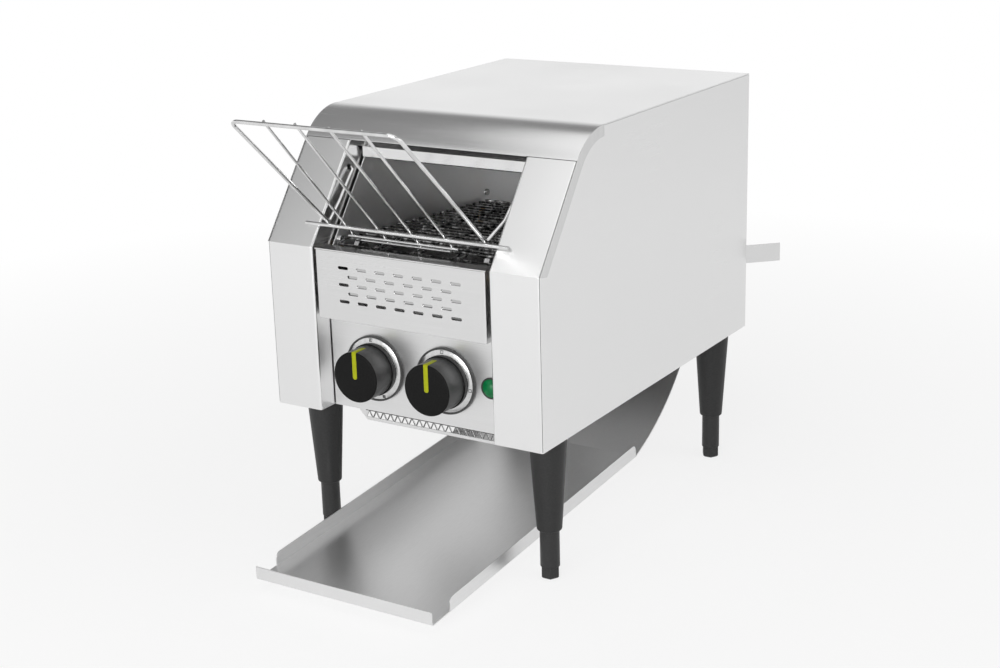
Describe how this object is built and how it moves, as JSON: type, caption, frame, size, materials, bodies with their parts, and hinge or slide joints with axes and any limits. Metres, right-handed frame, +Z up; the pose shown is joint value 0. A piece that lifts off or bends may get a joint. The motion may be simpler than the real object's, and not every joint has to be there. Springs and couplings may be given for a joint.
{
  "type": "conveyor toaster",
  "caption": "Countertop conveyor toaster: bread slides off a wire rack onto a moving wire belt between heaters and drops down a chute to a sloping tray in front.",
  "frame": {"origin": "middle of the overall box, on the surface that the feet stand on", "axes": "+X to the right seen from the front, +Y from the front to the rear, +Z up"},
  "size_m": [0.3294, 0.5724, 0.4293],
  "materials": {
    "stainless": "brushed along its length",
    "chamber_steel": "rolled, slightly heat-tinted",
    "polished_steel": "bright annealed",
    "belt_steel": "drawn wire, darkened by heat",
    "rack_wire": "polished drawn wire",
    "machined_steel": "turned",
    "bush_bronze": "sintered",
    "quartz": "clear",
    "ceramic": "unglazed",
    "motor_metal": "cast and turned",
    "black_plastic": "fine grained",
    "foot_plastic": "smooth",
    "knob_plastic": "fine grained",
    "pointer_paint": "smooth",
    "dial_metal": "satin",
    "lamp_green": "translucent",
    "grey_plastic": "moulded"
  },
  "bodies": {
    "casing": {"right_side_panel": "stainless", "left_side_panel": "stainless", "top_cover": "stainless", "rear_panel": "stainless", "bottom_plate": "stainless", "vent_panel": "stainless", "control_panel": "stainless", "rear_spacers": "stainless", "tray_hangers": "stainless", "right_inner_wall": "chamber_steel", "left_inner_wall": "chamber_steel", "rear_toast_guide": "chamber_steel", "motor_bracket": "chamber_steel", "vent_baffle": "polished_steel", "sill_plate": "polished_steel", "upper_reflector": "polished_steel", "lower_reflector": "polished_steel", "conveyor_belt": "belt_steel", "drive_chain": "machined_steel", "panel_screws": "machined_steel", "shaft_bushes": "bush_bronze", "upper_front_heater": "quartz", "upper_rear_heater": "quartz", "lower_front_heater": "quartz", "lower_rear_heater": "quartz", "heater_end_caps": "ceramic", "gear_motor": "motor_metal", "front_right_leg": "black_plastic", "front_left_leg": "black_plastic", "rear_right_leg": "black_plastic", "rear_left_leg": "black_plastic", "fan_frame": "black_plastic", "cable_gland": "black_plastic", "lamp_holder": "black_plastic", "dial_rims": "black_plastic", "dial_rings": "dial_metal", "lamp_lens": "lamp_green", "selector_switch": "grey_plastic", "speed_control": "grey_plastic", "thermostat": "grey_plastic", "terminal_block": "grey_plastic"},
    "left_dial": {"left_knob": "knob_plastic", "left_pointer": "pointer_paint", "left_spindle": "machined_steel"},
    "right_dial": {"right_knob": "knob_plastic", "right_pointer": "pointer_paint", "right_spindle": "machined_steel"},
    "rear_drive": {"rear_shaft": "machined_steel", "rear_sprockets": "machined_steel", "drive_sprocket": "machined_steel"},
    "front_idler": {"front_shaft": "machined_steel", "front_sprockets": "machined_steel"},
    "motor_output": {"motor_sprocket": "machined_steel"},
    "fan_rotor": {"fan_impeller": "black_plastic"},
    "rack": {"feed_rack": "rack_wire"},
    "tray": {"collector_tray": "stainless"},
    "front_right_screw_foot": {"front_right_foot": "foot_plastic"},
    "front_left_screw_foot": {"front_left_foot": "foot_plastic"},
    "rear_right_screw_foot": {"rear_right_foot": "foot_plastic"},
    "rear_left_screw_foot": {"rear_left_foot": "foot_plastic"}
  },
  "joints": [
    {"name": "left_knob_turn", "type": "hinge", "parent": "casing", "child": "left_dial", "pos_m": [-0.0445, -0.17487, 0.18], "axis": [0, 1, 0], "range_deg": [0, 270]},
    {"name": "right_knob_turn", "type": "hinge", "parent": "casing", "child": "right_dial", "pos_m": [0.033, -0.17487, 0.18], "axis": [0, 1, 0], "range_deg": [0, 270]},
    {"name": "rear_shaft_spin", "type": "hinge", "parent": "casing", "child": "rear_drive", "pos_m": [0, 0.10515, 0.26177], "axis": [1, 0, 0], "continuous": true},
    {"name": "front_shaft_spin", "type": "hinge", "parent": "casing", "child": "front_idler", "pos_m": [0, -0.13687, 0.277], "axis": [1, 0, 0], "continuous": true},
    {"name": "motor_shaft_spin", "type": "hinge", "parent": "casing", "child": "motor_output", "pos_m": [0, 0.09315, 0.18577], "axis": [1, 0, 0], "continuous": true},
    {"name": "fan_spin", "type": "hinge", "parent": "casing", "child": "fan_rotor", "pos_m": [-0.038, -0.05687, 0.15], "axis": [0, 0, 1], "continuous": true},
    {"name": "rack_swing", "type": "hinge", "parent": "casing", "child": "rack", "pos_m": [0, -0.11194, 0.35358], "axis": [-1, 0, 0], "range_deg": [0, 60]},
    {"name": "tray_slide", "type": "slide", "parent": "casing", "child": "tray", "axis": [0, -1, 0], "range_m": [0, 0.3]},
    {"name": "front_right_foot_screw", "type": "slide", "parent": "casing", "child": "front_right_screw_foot", "axis": [0, 0, -1], "range_m": [-0.008, 0.012]},
    {"name": "front_left_foot_screw", "type": "slide", "parent": "casing", "child": "front_left_screw_foot", "axis": [0, 0, -1], "range_m": [-0.008, 0.012]},
    {"name": "rear_right_foot_screw", "type": "slide", "parent": "casing", "child": "rear_right_screw_foot", "axis": [0, 0, -1], "range_m": [-0.008, 0.012]},
    {"name": "rear_left_foot_screw", "type": "slide", "parent": "casing", "child": "rear_left_screw_foot", "axis": [0, 0, -1], "range_m": [-0.008, 0.012]}
  ],
  "couplings": [
    {"joint": "front_shaft_spin", "follows": "rear_shaft_spin", "ratio": 1},
    {"joint": "motor_shaft_spin", "follows": "rear_shaft_spin", "ratio": 1}
  ]
}
